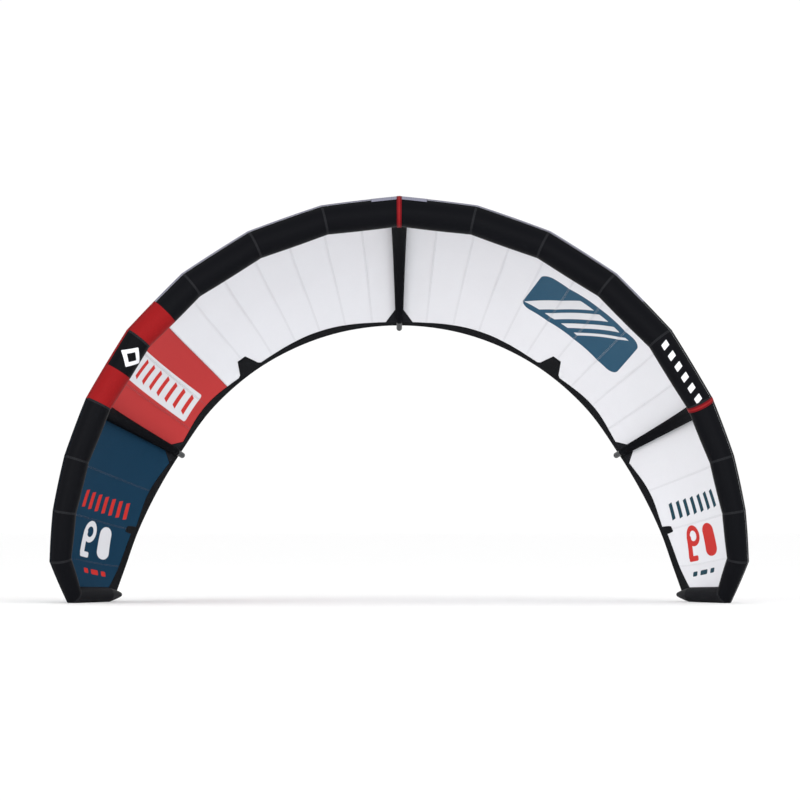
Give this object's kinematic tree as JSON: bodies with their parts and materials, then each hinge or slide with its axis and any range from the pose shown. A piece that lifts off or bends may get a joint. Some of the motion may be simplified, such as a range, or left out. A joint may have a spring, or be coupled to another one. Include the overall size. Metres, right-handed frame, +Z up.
{
  "type": "kitesurfing kite",
  "caption": "Kitesurfing kite with an inflated curved leading edge, struts and a sewn canopy, standing on its two wing tips.",
  "frame": {"origin": "centre of the box round the kite, at the floor it stands on", "axes": "+X across the span, towards the right in the picture; +Y from the leading edge towards the trailing edge; +Z up"},
  "size_m": [3.8892, 1.9678, 2.2846],
  "materials": {
    "tube_cloth": "matt woven polyester",
    "strut_cloth": "matt woven polyester",
    "canopy_white": "coated ripstop polyester",
    "canopy_red": "coated ripstop polyester",
    "canopy_teal": "coated ripstop polyester",
    "tail_cloth": "matt webbing cloth",
    "trim_cloth": "matt heavy polyester",
    "ring_cloth": "matt woven polyester"
  },
  "bodies": {
    "root": {"le_tube_right_01": "tube_cloth", "le_tube_right_02": "tube_cloth", "le_tube_right_03": "tube_cloth", "le_tube_right_04": "tube_cloth", "le_tube_right_05": "tube_cloth", "le_tube_right_06": "tube_cloth", "le_tube_right_07": "tube_cloth", "le_tube_right_08": "tube_cloth", "le_tube_right_09": "tube_cloth", "le_tube_right_10": "tube_cloth", "le_tube_left_01": "tube_cloth", "le_tube_left_02": "tube_cloth", "le_tube_left_03": "tube_cloth", "le_tube_left_04": "tube_cloth", "le_tube_left_05": "tube_cloth", "le_tube_left_06": "tube_cloth", "le_tube_left_07": "tube_cloth", "le_tube_left_08": "tube_cloth", "le_tube_left_09": "tube_cloth", "le_tube_left_10": "tube_cloth", "canopy_right_01": "canopy_white", "canopy_left_01": "canopy_white", "canopy_right_02": "canopy_white", "canopy_left_02": "canopy_white", "canopy_right_03": "canopy_white", "canopy_left_03": "canopy_white", "canopy_right_04": "canopy_white", "canopy_left_04": "canopy_white", "canopy_right_05": "canopy_white", "canopy_left_05": "canopy_white", "canopy_right_06": "canopy_white", "canopy_left_06": "canopy_white", "canopy_right_07": "canopy_white", "canopy_left_07": "canopy_white", "canopy_right_08": "canopy_white", "canopy_left_08": "canopy_red", "canopy_right_09": "canopy_white", "canopy_left_09": "canopy_red", "canopy_right_10": "canopy_white", "canopy_left_10": "canopy_red", "canopy_right_11": "canopy_white", "canopy_left_11": "canopy_teal", "canopy_right_12": "canopy_white", "canopy_left_12": "canopy_teal", "canopy_right_13": "canopy_white", "canopy_left_13": "canopy_teal", "canopy_right_14": "canopy_white", "canopy_left_14": "canopy_teal", "strut_centre": "strut_cloth", "strut_tail_centre": "tail_cloth", "strut_patch_centre": "trim_cloth", "strut_right": "strut_cloth", "strut_tail_right": "tail_cloth", "strut_patch_right": "trim_cloth", "strut_left": "strut_cloth", "strut_tail_left": "tail_cloth", "strut_patch_left": "trim_cloth", "trailing_band": "trim_cloth", "ring_centre": "ring_cloth", "ring_right": "ring_cloth"}
  },
  "joints": []
}
